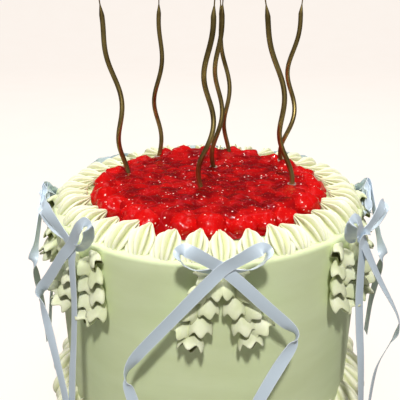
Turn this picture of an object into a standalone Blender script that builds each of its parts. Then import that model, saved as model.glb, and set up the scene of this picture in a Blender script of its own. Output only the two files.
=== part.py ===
"""A tall round birthday cake: pale buttercream, piped shell borders, braided cream garlands under eight ribbon bows,
a heap of glazed strawberries and seven wavy candles. Metres, +Z up, the origin at the middle of the base.
The front faces -Y. An azimuth is measured from the front, towards +X, and a place on the side is given by
u (along the side, in mm), v (up from the top edge, in mm) and w (out from the side, in mm)."""

import math
import random

import bmesh
import bpy
from mathutils import Matrix, Vector

MM = 0.001
GAP = 0.3 * MM

BODY_RADIUS = 100 * MM
BODY_HEIGHT = 138 * MM
TOP_EDGE_ROUND = 2.5 * MM
BODY_SIDES = 48

TOP_SHELLS = 40
TOP_SHELL_TAIL_RADIUS = 73.7 * MM
TOP_SHELL_HEAD_RADIUS = 98.5 * MM
TOP_SHELL_WIDTH = 18 * MM
TOP_SHELL_HEIGHT = 14 * MM
TOP_BORDER_INNER_RADIUS = 72 * MM
TOP_BORDER_STEP = 4 * MM
TOP_BORDER_SIDES = 24

BASE_SHELLS = 32
BASE_SHELL_WIDTH = 25 * MM
BASE_REACH_RADIUS = 117.5 * MM

GARLAND_PETALS = 4
GARLAND_HEAD = -10.0
GARLAND_FOOT = -38.0
# How far along the side, in mm, each strip's head and foot are from the knot, and the bows whose strips hang askew.
GARLAND_REACH = ((-5.8, -16.5), (5.8, 16.5))
GARLAND_REACHES = {2: ((-5.8, -3.0), (12.0, 22.0)), 8: ((-13.0, -24.0), (5.0, 5.0))}
# The flat undersides stand off the side by this much, in mm, so that their chords clear the round body.
GARLAND_STAND_OFF = 0.8

FRUIT_RIM_RADIUS = 76.5 * MM
FRUIT_CORE_RADIUS = 70 * MM
FRUIT_UNDERSIDE = TOP_BORDER_STEP + 1.5 * MM
GLAZE_LEVEL = 9 * MM
FRUIT_ROWS = ((67.5, 24, 9.0), (50, 9, 9.5), (30, 6, 9.5), (10, 2, 9.5))
FRUIT_SEED = 5

BOW_AZIMUTHS = (3.5, 47.0, 97.0, 141.0, 183.0, 225.0, 267.0, 321.0)
RIBBON_WIDTH = 6 * MM
RIBBON_THICKNESS = 0.6 * MM
KNOT_OUT = 10.5
KNOT_RISE = 3.0

CANDLE_RADIUS = 1.6 * MM
CANDLE_LENGTH = 110 * MM
CANDLE_TAPER = 9 * MM
WICK_RADIUS = 0.45 * MM
WICK_LENGTH = 4 * MM
CANDLE_SUNK = 6 * MM
WAVE_LENGTH = 68 * MM
HOLDER_RADIUS = 2.7 * MM
HOLDER_RIM = 1.5 * MM
# Each candle: where it stands on the top, in mm, how far its tip leans in x and y, its wave's reach and its turn.
CANDLES = (
    ("candle_left", (-54.1, 9.9), (-11.9, 2.0), 3.7, 100),
    ("candle_back_left", (-37.2, 53.2), (3.6, 1.0), 3.5, 330),
    ("candle_front", (-4.6, -18.1), (8.2, -2.0), 4.8, 150),
    ("candle_centre", (3.7, 25.7), (5.7, 2.5), 3.9, 165),
    ("candle_back", (15.9, 56.0), (-7.5, 3.0), 3.3, 80),
    ("candle_front_right", (53.7, -10.6), (-21.4, 1.0), 3.9, 30),
    ("candle_back_right", (53.7, 42.8), (9.0, 2.0), 5.0, 175),
)


def material(name, colour, roughness, metallic=0.0):
    """A plain Principled material of one colour."""
    made = bpy.data.materials.new(name)
    made.use_nodes = True
    shader = made.node_tree.nodes["Principled BSDF"]
    shader.inputs["Base Color"].default_value = (*colour, 1)
    shader.inputs["Roughness"].default_value = roughness
    shader.inputs["Metallic"].default_value = metallic
    return made


def fresh_collection(name):
    """A new collection under the scene."""
    made = bpy.data.collections.new(name)
    bpy.context.scene.collection.children.link(made)
    return made


def mesh_object(name, bm, group):
    """Puts a bmesh into a new object of a collection."""
    bmesh.ops.recalc_face_normals(bm, faces=bm.faces)
    if bm.calc_volume(signed=True) < 0:
        bmesh.ops.reverse_faces(bm, faces=bm.faces)
    mesh = bpy.data.meshes.new(name)
    bm.to_mesh(mesh)
    bm.free()
    made = bpy.data.objects.new(name, mesh)
    group.objects.link(made)
    return made


def finish(obj, look):
    """Gives a piece its material and smooth shading with sharp creases."""
    outer_skin(obj)
    obj.data.materials.clear()
    obj.data.materials.append(look)
    obj.data.shade_smooth()
    obj.data.set_sharp_from_angle(angle=math.radians(40))
    return obj


def applied(obj):
    """Applies every modifier of a piece."""
    graph = bpy.context.evaluated_depsgraph_get()
    mesh = bpy.data.meshes.new_from_object(obj.evaluated_get(graph))
    obj.modifiers.clear()
    obj.data = mesh
    return obj


def fused(name, pieces, group, solver="EXACT"):
    """Joins loose pieces into one closed solid with one Boolean union on their collection."""
    base = pieces[0]
    others = bpy.data.collections.new(name + "_pieces")
    for piece in pieces[1:]:
        others.objects.link(piece)
    bpy.context.scene.collection.children.link(others)
    cut = base.modifiers.new("join", "BOOLEAN")
    cut.operation = "UNION"
    cut.operand_type = "COLLECTION"
    cut.collection = others
    cut.solver = solver
    applied(base)
    for piece in list(others.objects):
        bpy.data.objects.remove(piece)
    bpy.data.collections.remove(others)
    base.name = name
    if name not in group.objects:
        group.objects.link(base)
    return base


def cut_by(obj, cutter, operation="DIFFERENCE", solver="EXACT"):
    """Cuts a piece with a cutter and applies the cut."""
    cut = obj.modifiers.new("cut", "BOOLEAN")
    cut.operation = operation
    cut.object = cutter
    cut.solver = solver
    applied(obj)


def outer_skin(obj):
    """Keeps a piece's largest closed skin: sealed hollows are filled so and loose scraps dropped."""
    bm = bmesh.new()
    bm.from_mesh(obj.data)
    left = set(bm.verts)
    skins = []
    while left:
        start = left.pop()
        skin, edge = {start}, [start]
        while edge:
            for link in edge.pop().link_edges:
                for vert in link.verts:
                    if vert in left:
                        left.discard(vert)
                        skin.add(vert)
                        edge.append(vert)
        skins.append(skin)
    skins.sort(key=len)
    for skin in skins[:-1]:
        bmesh.ops.delete(bm, geom=list(skin), context="VERTS")
    bm.to_mesh(obj.data)
    bm.free()


def without_slivers(obj):
    """Merges the very short edges that a union leaves, and the facets that lie in one plane."""
    bm = bmesh.new()
    bm.from_mesh(obj.data)
    bmesh.ops.remove_doubles(bm, verts=bm.verts, dist=0.04 * MM)
    bmesh.ops.dissolve_degenerate(bm, edges=bm.edges, dist=0.02 * MM)
    bmesh.ops.dissolve_limit(bm, angle_limit=math.radians(2), verts=bm.verts, edges=bm.edges)
    bm.to_mesh(obj.data)
    bm.free()
    return obj


def cylinder(name, radius, low, high, sides, group):
    """A closed upright cylinder about the cake's axis."""
    bm = bmesh.new()
    middle = Matrix.Translation((0, 0, (low + high) / 2))
    bmesh.ops.create_cone(bm, cap_ends=True, segments=sides, radius1=radius, radius2=radius,
                          depth=high - low, matrix=middle)
    return mesh_object(name, bm, group)


def turned(name, profile, sides, group):
    """A ring or disc turned about the cake's axis from a closed profile of (radius, height) points, going round
    anticlockwise, or from an open one that starts and ends on the axis."""
    mesh = bpy.data.meshes.new(name)
    points = [(r, 0, z) for r, z in profile]
    closed = profile[0][0] > 0
    edges = [(i, i + 1) for i in range(len(points) - 1)]
    if closed:
        edges.append((len(points) - 1, 0))
    mesh.from_pydata(points, edges, [])
    made = bpy.data.objects.new(name, mesh)
    group.objects.link(made)
    spin = made.modifiers.new("turn", "SCREW")
    spin.steps = spin.render_steps = sides
    spin.use_merge_vertices = True
    spin.merge_threshold = 0.00001
    applied(made)
    bm = bmesh.new()
    bm.from_mesh(made.data)
    bmesh.ops.remove_doubles(bm, verts=bm.verts, dist=0.00001)
    bmesh.ops.recalc_face_normals(bm, faces=bm.faces)
    bm.to_mesh(made.data)
    bm.free()
    return made


def side_point(azimuth, u, v, w):
    """The point u mm along the side, v mm above the top edge and w mm out from the side, at an azimuth in degrees."""
    angle = math.radians(azimuth) + u * MM / BODY_RADIUS
    radius = BODY_RADIUS + w * MM
    return Vector((radius * math.sin(angle), -radius * math.cos(angle), BODY_HEIGHT + v * MM))


def ribbed_shell(group, segments, rings, rib_depth, scale, place):
    """One piped shell: a ball whose poles lie along X, with a fat head at +X, a thin tail at -X and ribs between.
    A corner of its outline points to either side, so that neighbours sink into each other."""
    bm = bmesh.new()
    bmesh.ops.create_uvsphere(bm, u_segments=segments, v_segments=rings, radius=1,
                              matrix=Matrix.Rotation(math.radians(90), 4, "Y"))
    for vert in bm.verts:
        x, y, z = vert.co
        around = math.atan2(z, y)
        rib = 1 + rib_depth * math.cos(around * segments / 2)
        fullness = 1 + 0.3 * x
        if abs(x) > 0.999:
            rib = 1
        vert.co = Vector((x * scale[0], y * scale[1] * fullness * rib, z * scale[2] * fullness * rib))
    bmesh.ops.transform(bm, matrix=place, verts=bm.verts)
    return mesh_object("shell", bm, group)


def make_body(group, look):
    """The frosted cake: one upright solid with a softly rounded top edge."""
    inner = BODY_RADIUS - TOP_EDGE_ROUND
    edge = [(inner + TOP_EDGE_ROUND * math.sin(a), BODY_HEIGHT - TOP_EDGE_ROUND * (1 - math.cos(a)))
            for a in (math.radians(d) for d in (0, 45, 90))]
    profile = [(0, BODY_HEIGHT), *edge, (BODY_RADIUS, 0), (0, 0)]
    return finish(turned("cake_body", profile, BODY_SIDES, group), look)


def make_top_border(group, look):
    """Forty ribbed shells on the top's rim, their tails towards the fruit."""
    draw = random.Random(11)
    low = BODY_HEIGHT + GAP
    pieces = []
    half = (TOP_SHELL_HEAD_RADIUS - TOP_SHELL_TAIL_RADIUS) / 2
    for i in range(TOP_SHELLS):
        azimuth = 360 / TOP_SHELLS * (i + 0.5) + draw.uniform(-0.6, 0.6)
        size = draw.uniform(0.95, 1.05)
        middle = TOP_SHELL_HEAD_RADIUS - half * size
        place = (Matrix.Rotation(math.radians(azimuth - 90), 4, "Z")
                 @ Matrix.Translation((middle, 0, BODY_HEIGHT + 4.2 * MM))
                 @ Matrix.Rotation(math.radians(4), 4, "Y"))
        scale = (half * size, TOP_SHELL_WIDTH / 2 * size, (TOP_SHELL_HEIGHT - 4 * MM) * size)
        pieces.append(ribbed_shell(group, 6, 3, 0.05, scale, place))
    border = fused("top_border", pieces, group, "MANIFOLD")
    floor = cylinder("below_top", 0.2, BODY_HEIGHT - 0.03, low, 32, group)
    cut_by(border, floor, "DIFFERENCE", "MANIFOLD")
    hole = cylinder("fruit_room", FRUIT_RIM_RADIUS + GAP, low + TOP_BORDER_STEP, BODY_HEIGHT + 0.05,
                    TOP_BORDER_SIDES, group)
    cut_by(border, hole, "DIFFERENCE", "MANIFOLD")
    for cutter in (floor, hole):
        bpy.data.objects.remove(cutter)
    return finish(without_slivers(border), look)


def make_base_border(group, look):
    """Thirty-two larger shells round the foot, heads out and down, tails drawn up the side."""
    draw = random.Random(12)
    wall = (BODY_RADIUS + GAP) / math.cos(math.pi / BODY_SIDES)
    pieces = []
    tilt = math.radians(66)
    for i in range(BASE_SHELLS):
        azimuth = 360 / BASE_SHELLS * (i + 0.5) + draw.uniform(-0.6, 0.6)
        size = draw.uniform(0.96, 1.0)
        place = (Matrix.Rotation(math.radians(azimuth - 90), 4, "Z")
                 @ Matrix.Translation((BASE_REACH_RADIUS - 12.4 * MM, 0, 12.5 * MM))
                 @ Matrix.Rotation(tilt, 4, "Y"))
        scale = (16.5 * MM * size, BASE_SHELL_WIDTH / 2, 11.2 * MM * size)
        pieces.append(ribbed_shell(group, 6, 3, 0.06, scale, place))
    border = fused("base_border", pieces, group, "MANIFOLD")
    inside = cylinder("body_room", wall, -0.03, BODY_HEIGHT, BODY_SIDES, group)
    cut_by(border, inside)
    ground = cylinder("ground", 0.3, -0.05, 0, 32, group)
    cut_by(border, ground)
    for cutter in (inside, ground):
        bpy.data.objects.remove(cutter)
    return finish(without_slivers(border), look)


def make_garland(name, azimuth, reach, group, look, draw):
    """One braided strip of piped cream, from under the bow down and away to one side: curled petals laid by turns
    to the left and to the right."""
    pieces = []
    head, foot = Vector((reach[0], GARLAND_HEAD)), Vector((reach[1], GARLAND_FOOT))
    along = (foot - head).normalized()
    across = Vector((-along.y, along.x))
    for i in range(GARLAND_PETALS):
        t = i / (GARLAND_PETALS - 1)
        turn = 1 if i % 2 else -1
        spot = head.lerp(foot, t) + across * turn * (1.7 + 0.8 * t)
        bm = bmesh.new()
        bmesh.ops.create_uvsphere(bm, u_segments=5, v_segments=3, radius=1,
                                  matrix=Matrix.Rotation(math.radians(90), 4, "Y"))
        size = 0.97 + 0.08 * t + draw.uniform(-0.03, 0.03)
        lean = math.atan2(along.y, along.x) + turn * 0.4
        for vert in bm.verts:
            x, y, z = vert.co
            flare = 0.95 + 0.2 * x
            u = spot.x + size * (7.6 * x * math.cos(lean) - 5.2 * y * flare * math.sin(lean))
            v = spot.y + size * (7.6 * x * math.sin(lean) + 5.2 * y * flare * math.cos(lean))
            w = max(GARLAND_STAND_OFF, 3.0 + size * 5.4 * z * flare)
            vert.co = side_point(azimuth, u, v, w)
        pieces.append(mesh_object("petal", bm, group))
    strip = fused(name, pieces, group, "MANIFOLD")
    return finish(without_slivers(strip), look)


def make_fruit(group, look):
    """The heap of glazed strawberries: a low core of set glaze with the pieces that show fused on, and a socket
    for each candle's foot."""
    draw = random.Random(FRUIT_SEED)
    low = BODY_HEIGHT + GAP
    inner = TOP_BORDER_INNER_RADIUS * math.cos(math.pi / TOP_BORDER_SIDES) - GAP
    ledge = BODY_HEIGHT + FRUIT_UNDERSIDE
    core = turned("core", [(0, BODY_HEIGHT + GLAZE_LEVEL), (FRUIT_CORE_RADIUS - 6 * MM, BODY_HEIGHT + GLAZE_LEVEL),
                           (FRUIT_CORE_RADIUS, ledge + 1 * MM), (inner + 2 * MM, ledge - 1 * MM),
                           (inner + 2 * MM, low), (0, low)], TOP_BORDER_SIDES, group)
    pieces = [core]
    for row_radius, count, size in FRUIT_ROWS:
        start = draw.uniform(0, 360)
        for i in range(count):
            azimuth = math.radians(start + 360 / count * i + draw.uniform(-3, 3))
            radius = (row_radius + draw.uniform(-1.0, 1.0)) * MM
            grown = size * draw.uniform(0.9, 1.05) * MM
            spin = Matrix.Rotation(azimuth, 4, "Z")
            bm = bmesh.new()
            outer = row_radius == FRUIT_ROWS[0][0]
            bmesh.ops.create_uvsphere(bm, u_segments=6, v_segments=4 if outer else 3, radius=1)
            squash = Matrix.Diagonal((grown * 0.98, grown * 1.08, grown * (0.64 if outer else 0.5), 1))
            height = ledge + 2.4 * MM if outer else BODY_HEIGHT + GLAZE_LEVEL - 0.5 * MM
            turn = Matrix.Rotation(draw.uniform(0, 6.28), 4, "Z")
            place = spin @ Matrix.Translation((radius, 0, height)) @ squash @ turn
            bmesh.ops.transform(bm, matrix=place, verts=bm.verts)
            pieces.append(mesh_object("berry", bm, group))
    heap = fused("strawberry_topping", pieces, group, "MANIFOLD")
    under = turned("under", [(inner, BODY_HEIGHT - 0.01), (0.12, BODY_HEIGHT - 0.01), (0.12, ledge), (inner, ledge)],
                   TOP_BORDER_SIDES, group)
    cut_by(heap, under, "DIFFERENCE", "MANIFOLD")
    bound = cylinder("bound", FRUIT_RIM_RADIUS * math.cos(math.pi / TOP_BORDER_SIDES), BODY_HEIGHT - 0.01,
                     BODY_HEIGHT + 0.05, TOP_BORDER_SIDES, group)
    cut_by(heap, bound, "INTERSECT", "MANIFOLD")
    bpy.data.objects.remove(under)
    bpy.data.objects.remove(bound)
    for name, (x, y), lean, reach, turn in CANDLES:
        bm = bmesh.new()
        depth = 0.03
        spot = Matrix.Translation((x * MM, y * MM, BODY_HEIGHT + GLAZE_LEVEL - CANDLE_SUNK + depth / 2))
        bmesh.ops.create_cone(bm, cap_ends=True, segments=6, radius1=HOLDER_RADIUS + 2 * GAP,
                              radius2=HOLDER_RADIUS + 2 * GAP, depth=depth, matrix=spot)
        socket = mesh_object("socket", bm, group)
        cut_by(heap, socket, "DIFFERENCE", "MANIFOLD")
        bpy.data.objects.remove(socket)
    return finish(without_slivers(heap), look)


def candle_line(foot, lean, reach, turn, t):
    """A point on a candle's middle line, t from 0 at the foot to 1 at the tip: a coil that dies out upwards."""
    height = t * CANDLE_LENGTH
    swell = math.sin(math.pi * min(1, t / 0.92) ** 0.75)
    angle = math.radians(turn) + 2 * math.pi * height / WAVE_LENGTH
    x = foot[0] + lean[0] * t + reach * swell * math.cos(angle)
    y = foot[1] + lean[1] * t + reach * swell * math.sin(angle)
    return Vector((x * MM, y * MM, BODY_HEIGHT + GLAZE_LEVEL + HOLDER_RIM + height))


def tube(name, points, radii, sides, group):
    """A closed round rod along points, with a radius for each: a POLY curve made a mesh with its caps welded."""
    curve = bpy.data.curves.new(name, "CURVE")
    curve.dimensions = "3D"
    curve.bevel_depth = 1
    curve.bevel_resolution = sides // 2 - 2
    curve.use_fill_caps = True
    line = curve.splines.new("POLY")
    line.points.add(len(points) - 1)
    for point, place, radius in zip(line.points, points, radii):
        point.co = (*place, 1)
        point.radius = radius
    drawn = bpy.data.objects.new(name, curve)
    bpy.context.scene.collection.objects.link(drawn)
    graph = bpy.context.evaluated_depsgraph_get()
    mesh = bpy.data.meshes.new_from_object(drawn.evaluated_get(graph))
    bpy.data.objects.remove(drawn)
    bm = bmesh.new()
    bm.from_mesh(mesh)
    bmesh.ops.remove_doubles(bm, verts=bm.verts, dist=0.00001)
    bpy.data.meshes.remove(mesh)
    return mesh_object(name, bm, group)


def make_candle(name, foot, lean, reach, turn, group, gold, clear):
    """A thin wavy candle with a pointed wick, in a small clear cup that stands in the glaze."""
    steps = 9
    body_end = CANDLE_LENGTH - CANDLE_TAPER
    places, radii = [], []
    low = candle_line(foot, lean, reach, turn, 0)
    places.append(low - Vector((0, 0, CANDLE_SUNK + HOLDER_RIM - 2 * GAP)))
    radii.append(CANDLE_RADIUS)
    for i in range(steps + 1):
        t = i / steps * body_end / CANDLE_LENGTH
        places.append(candle_line(foot, lean, reach, turn, t))
        radii.append(CANDLE_RADIUS)
    for t, radius in ((1 - WICK_LENGTH / CANDLE_LENGTH, WICK_RADIUS), (1, WICK_RADIUS * 0.8)):
        places.append(candle_line(foot, lean, reach, turn, t))
        radii.append(radius)
    rod = finish(tube(name, places, radii, 6, group), gold)
    bottom = BODY_HEIGHT + GLAZE_LEVEL - CANDLE_SUNK + GAP
    top = BODY_HEIGHT + GLAZE_LEVEL + HOLDER_RIM
    outer = HOLDER_RADIUS * math.cos(math.pi / 8)
    inner = CANDLE_RADIUS / math.cos(math.pi / 8) + GAP
    cup = turned(name.replace("candle", "holder"),
                 [(inner, bottom), (outer, bottom), (outer, top), (inner, top)], 8, group)
    cup.data.transform(Matrix.Translation((foot[0] * MM, foot[1] * MM, 0)))
    finish(cup, clear)
    return rod


def ribbon(points, group, name="ribbon"):
    """A strip of ribbon along stations of (place, width direction): a thin closed band, four corners to a station.
    Both broad sides are split along the same diagonals, so that a twist can't push one through the other."""
    bm = bmesh.new()
    rows = []
    for i, (place, across) in enumerate(points):
        before = points[max(i - 1, 0)][0]
        after = points[min(i + 1, len(points) - 1)][0]
        tangent = (after - before).normalized()
        across = (across - tangent * across.dot(tangent)).normalized()
        normal = tangent.cross(across)
        rows.append([bm.verts.new(place + across * a * RIBBON_WIDTH / 2 + normal * n * RIBBON_THICKNESS / 2)
                     for a, n in ((-1, -1), (1, -1), (1, 1), (-1, 1))])
    for first, second in zip(rows, rows[1:]):
        for k in range(4):
            a, b, c, d = first[k], first[(k + 1) % 4], second[(k + 1) % 4], second[k]
            halves = ((a, b, c), (a, c, d)) if k < 2 else ((a, b, d), (b, c, d))
            for half in halves:
                bm.faces.new(half)
    bm.faces.new(rows[0])
    bm.faces.new(reversed(rows[-1]))
    return mesh_object(name, bm, group)


# A loop of the bow and its hanging tails, as places (u, v, w) in mm from the knot and the way the ribbon's width
# points there. Those of the left side are mirrored.
LOOP = (
    ((0.5, 0.3, 0.9), (-0.3, 0.9, 0.1)),
    ((6.5, 5.4, 3.0), (-0.55, 0.8, 0.2)),
    ((13.4, 10.8, 5.0), (-0.4, 0.8, 0.4)),
    ((18.4, 8.8, 3.6), (0.1, 0.6, 0.8)),
    ((13.6, 1.9, 0.2), (0.1, 0.6, 0.8)),
    ((0.5, -0.6, -0.9), (0.0, 0.95, 0.3)),
)
SWEEP = (
    ((0.0, -1.0, 0.2), (0.7, 0.7, 0.0)),
    ((20.0, -21.5, 2.5), (0.65, 0.7, 0.2)),
    ((32.0, -34.5, 5.0), (0.5, 0.6, 0.6)),
    ((33.8, -42.0, 6.0), (0.3, 0.2, 0.95)),
    ((25.5, -56.0, 7.0), (0.8, -0.5, 0.3)),
    ((9.0, -92.0, 9.5), (0.9, -0.35, 0.15)),
    ((3.0, -124.0, 11.5), (1.0, 0.0, 0.0)),
)
SLANT = (
    ((0.0, -1.0, 0.2), (0.72, 0.7, 0.0)),
    ((20.0, -25.0, 2.2), (0.75, 0.66, 0.15)),
    ((36.0, -46.5, 4.5), (0.75, 0.6, 0.3)),
    ((42.5, -60.0, 6.0), (0.5, 0.25, 0.8)),
    ((41.0, -76.0, 7.5), (0.8, -0.15, 0.55)),
    ((33.0, -99.0, 10.0), (0.95, -0.25, 0.1)),
    ((26.0, -124.0, 11.5), (1.0, -0.2, 0.0)),
)
DROP = (
    ((-0.5, -1.0, 0.2), (1.0, 0.1, 0.1)),
    ((-1.0, -35.0, 2.5), (1.0, 0.0, 0.2)),
    ((-2.0, -80.0, 8.0), (1.0, 0.0, 0.1)),
    ((-4.0, -124.0, 11.5), (1.0, 0.0, 0.0)),
)
STAND_OFF = (
    ((0.0, -1.0, 0.2), (0.9, 0.3, 0.2)),
    ((8.0, -27.0, 11.0), (0.9, 0.4, -0.3)),
    ((15.0, -53.0, 22.0), (0.7, 0.6, -0.6)),
    ((16.5, -62.0, 21.0), (0.2, 1.0, 0.2)),
    ((17.0, -92.0, 12.5), (1.0, 0.0, 0.1)),
    ((16.0, -118.0, 11.5), (1.0, 0.0, 0.0)),
)
# For each bow, from the front round to the left: its two tails, each as (side, route, how far the route spreads).
DRAPES = (
    ((-1, SLANT, 1.0), (1, SWEEP, 0.96)),
    ((1, DROP, -1.0), (1, STAND_OFF, 1.0)),
    ((-1, SWEEP, 0.8), (1, SWEEP, 0.9)),
    ((-1, SWEEP, 0.95), (1, SWEEP, 0.75)),
    ((-1, SWEEP, 0.85), (1, SWEEP, 1.0)),
    ((-1, DROP, 1.0), (1, SWEEP, 0.85)),
    ((-1, SWEEP, 0.9), (1, SWEEP, 0.8)),
    ((-1, SWEEP, 0.85), (1, DROP, 1.0)),
)


def make_bow(name, azimuth, tails, group, look):
    """A bow of narrow ribbon: two loops, a knot and two long tails, all of one piece."""
    def station(place, across, side, spread):
        u, v, w = place
        spot = side_point(azimuth, side * u * spread, v + KNOT_RISE, w + KNOT_OUT)
        angle = math.radians(azimuth) + side * u * spread * MM / BODY_RADIUS
        tangential = Vector((math.cos(angle), math.sin(angle), 0))
        outward = Vector((math.sin(angle), -math.cos(angle), 0))
        width = tangential * across[0] * side + Vector((0, 0, across[1])) + outward * across[2]
        return spot, width

    knot_place = side_point(azimuth, 0, KNOT_RISE - 0.5, KNOT_OUT)
    bm = bmesh.new()
    bmesh.ops.create_cube(bm, size=1)
    turn = Matrix.Rotation(math.radians(azimuth), 4, "Z")
    size = Matrix.Diagonal((4.6 * MM, 3.0 * MM, 5.4 * MM, 1))
    bmesh.ops.transform(bm, matrix=Matrix.Translation(knot_place) @ turn @ size, verts=bm.verts)
    pieces = [mesh_object("knot", bm, group)]
    for side in (-1, 1):
        pieces.append(ribbon([station(p, a, side, 1.0) for p, a in LOOP], group))
    for side, route, spread in tails:
        pieces.append(ribbon([station(p, a, side, spread) for p, a in route], group))
    return finish(fused(name, pieces, group, "MANIFOLD"), look)


def main():
    """Builds the whole cake."""
    for obj in list(bpy.data.objects):
        bpy.data.objects.remove(obj)
    group = fresh_collection("birthday_cake")
    cream = material("buttercream", (0.86, 0.86, 0.62), 0.55)
    piped = material("piped_cream", (0.92, 0.91, 0.70), 0.5)
    red = material("strawberry_glaze", (0.62, 0.01, 0.01), 0.12)
    satin = material("satin_ribbon", (0.78, 0.82, 0.92), 0.3)
    gold = material("gold_candle", (0.45, 0.38, 0.16), 0.3, 1.0)
    clear = material("clear_cup", (0.9, 0.88, 0.75), 0.2)

    make_body(group, cream)
    make_top_border(group, piped)
    make_base_border(group, piped)
    make_fruit(group, red)
    for name, foot, lean, reach, turn in CANDLES:
        make_candle(name, foot, lean, reach, turn, group, gold, clear)
    draw = random.Random(21)
    for i, azimuth in enumerate(BOW_AZIMUTHS):
        for word, reach in zip(("left", "right"), GARLAND_REACHES.get(i + 1, GARLAND_REACH)):
            make_garland(f"garland_{i + 1}_{word}", azimuth, reach, group, piped, draw)
        make_bow(f"bow_{i + 1}", azimuth, DRAPES[i], group, satin)


main()
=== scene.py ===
# %% [markdown]
# # A tall birthday cake
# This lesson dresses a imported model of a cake: pale buttercream with piped shells, braided garlands under
# ribbon bows, a heap of glazed strawberries and wavy gold candles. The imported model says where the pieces
# go. Each part of the lesson says what a piece is, how it could be made, and why it is made this way.

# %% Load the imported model
import math
import random

import bpy
from mathutils import Matrix, Vector, noise


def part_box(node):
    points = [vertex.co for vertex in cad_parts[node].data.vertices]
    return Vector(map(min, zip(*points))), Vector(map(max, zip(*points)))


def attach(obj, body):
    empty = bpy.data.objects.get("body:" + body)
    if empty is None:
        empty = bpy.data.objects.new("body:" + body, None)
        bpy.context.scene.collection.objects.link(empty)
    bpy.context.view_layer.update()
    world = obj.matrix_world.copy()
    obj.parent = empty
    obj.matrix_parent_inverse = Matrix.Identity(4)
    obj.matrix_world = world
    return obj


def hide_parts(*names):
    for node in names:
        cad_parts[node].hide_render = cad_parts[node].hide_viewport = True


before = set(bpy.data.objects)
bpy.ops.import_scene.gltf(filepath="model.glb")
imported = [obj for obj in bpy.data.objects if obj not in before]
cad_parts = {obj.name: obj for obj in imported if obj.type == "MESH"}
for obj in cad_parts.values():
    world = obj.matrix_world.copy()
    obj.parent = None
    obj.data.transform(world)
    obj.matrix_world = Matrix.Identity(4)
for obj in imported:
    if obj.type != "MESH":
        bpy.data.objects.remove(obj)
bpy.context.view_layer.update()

MM = 0.001

# %% [markdown]
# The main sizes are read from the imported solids, so the pieces stay with them. The cake stands
# on z = 0 and its front looks along -Y. A place on the side is told by an azimuth from the front, u along
# the side, v up from the top edge and w out from the side, all in millimetres, as a decorator would measure
# with a tape.

# %% Read the main sizes
BODY_RADIUS, _, BODY_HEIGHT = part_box("cake_body")[1]
BORDER_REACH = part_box("top_border")[1][0]
FOOT_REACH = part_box("base_border")[1][0]
print(f"radius {BODY_RADIUS / MM:.1f} mm, height {BODY_HEIGHT / MM:.1f} mm")


def side_point(azimuth, u, v, w):
    """The point at u, v, w millimetres on the side, at an azimuth in degrees."""
    angle = math.radians(azimuth) + u * MM / BODY_RADIUS
    radius = BODY_RADIUS + w * MM
    return Vector((radius * math.sin(angle), -radius * math.cos(angle), BODY_HEIGHT + v * MM))


def side_ways(azimuth, u):
    """The way right along the side and the way out from it, u millimetres from an azimuth."""
    angle = math.radians(azimuth) + u * MM / BODY_RADIUS
    return Vector((math.cos(angle), math.sin(angle), 0)), Vector((math.sin(angle), -math.cos(angle), 0))


def turned(degrees, axis):
    """A turn about an axis."""
    return Matrix.Rotation(math.radians(degrees), 4, axis)


# %% [markdown]
# Blender's operators act on everything that is selected, and loading a model leaves its objects selected. A
# few small helpers keep that in order: one starts from an empty selection, one bakes an object's place into
# its mesh, one copies a finished form, and one joins many copies to a single piece.

# %% Helpers for working with operators
def start_clean():
    """Goes to object mode with nothing selected."""
    if bpy.context.object and bpy.context.object.mode != "OBJECT":
        bpy.ops.object.mode_set(mode="OBJECT")
    bpy.ops.object.select_all(action="DESELECT")


def pick(obj):
    """Selects one object alone and makes it active."""
    start_clean()
    obj.select_set(True)
    bpy.context.view_layer.objects.active = obj
    return obj


def place_in_mesh(obj):
    """Bakes an object's place, turn and scale into its mesh."""
    pick(obj)
    bpy.ops.object.transform_apply(location=True, rotation=True, scale=True)
    return obj


def add_modifier(obj, kind, **values):
    """Adds one modifier with its values and applies it."""
    pick(obj)
    modifier = obj.modifiers.new(kind.title(), kind)
    for name, value in values.items():
        setattr(modifier, name, value)
    bpy.ops.object.modifier_apply(modifier=modifier.name)
    return obj


def copy_of(obj, place):
    """A copy of a finished form with its own mesh, put somewhere by a matrix."""
    twin = obj.copy()
    twin.data = obj.data.copy()
    twin.matrix_world = place
    bpy.context.collection.objects.link(twin)
    return twin


def join_as(name, pieces):
    """Joins pieces into one object with its place in its mesh."""
    start_clean()
    for piece in pieces:
        piece.select_set(True)
    bpy.context.view_layer.objects.active = pieces[0]
    if len(pieces) > 1:
        bpy.ops.object.join()
    joined = bpy.context.object
    joined.name = name
    return place_in_mesh(joined)


def select_edges(obj, wanted):
    """Goes to edit mode with those edges selected whose two ends are both wanted."""
    pick(obj)
    bpy.ops.object.mode_set(mode="EDIT")
    bpy.ops.mesh.select_mode(type="EDGE")
    bpy.ops.mesh.select_all(action="DESELECT")
    bpy.ops.object.mode_set(mode="OBJECT")
    for edge in obj.data.edges:
        edge.select = all(wanted(obj.data.vertices[i].co) for i in edge.vertices)
    bpy.ops.object.mode_set(mode="EDIT")


def cut_off_below(obj, height):
    """Cuts off what lies below a height and closes the cut."""
    pick(obj)
    bpy.ops.object.mode_set(mode="EDIT")
    bpy.ops.mesh.select_all(action="SELECT")
    bpy.ops.mesh.bisect(plane_co=(0, 0, height), plane_no=(0, 0, 1), clear_inner=True, use_fill=True)
    bpy.ops.object.mode_set(mode="OBJECT")


def outward(obj):
    """Merges doubled points and turns all faces outwards."""
    pick(obj)
    bpy.ops.object.mode_set(mode="EDIT")
    bpy.ops.mesh.select_all(action="SELECT")
    bpy.ops.mesh.remove_doubles(threshold=0.000005)
    bpy.ops.mesh.normals_make_consistent(inside=False)
    bpy.ops.object.mode_set(mode="OBJECT")
    return obj


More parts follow.
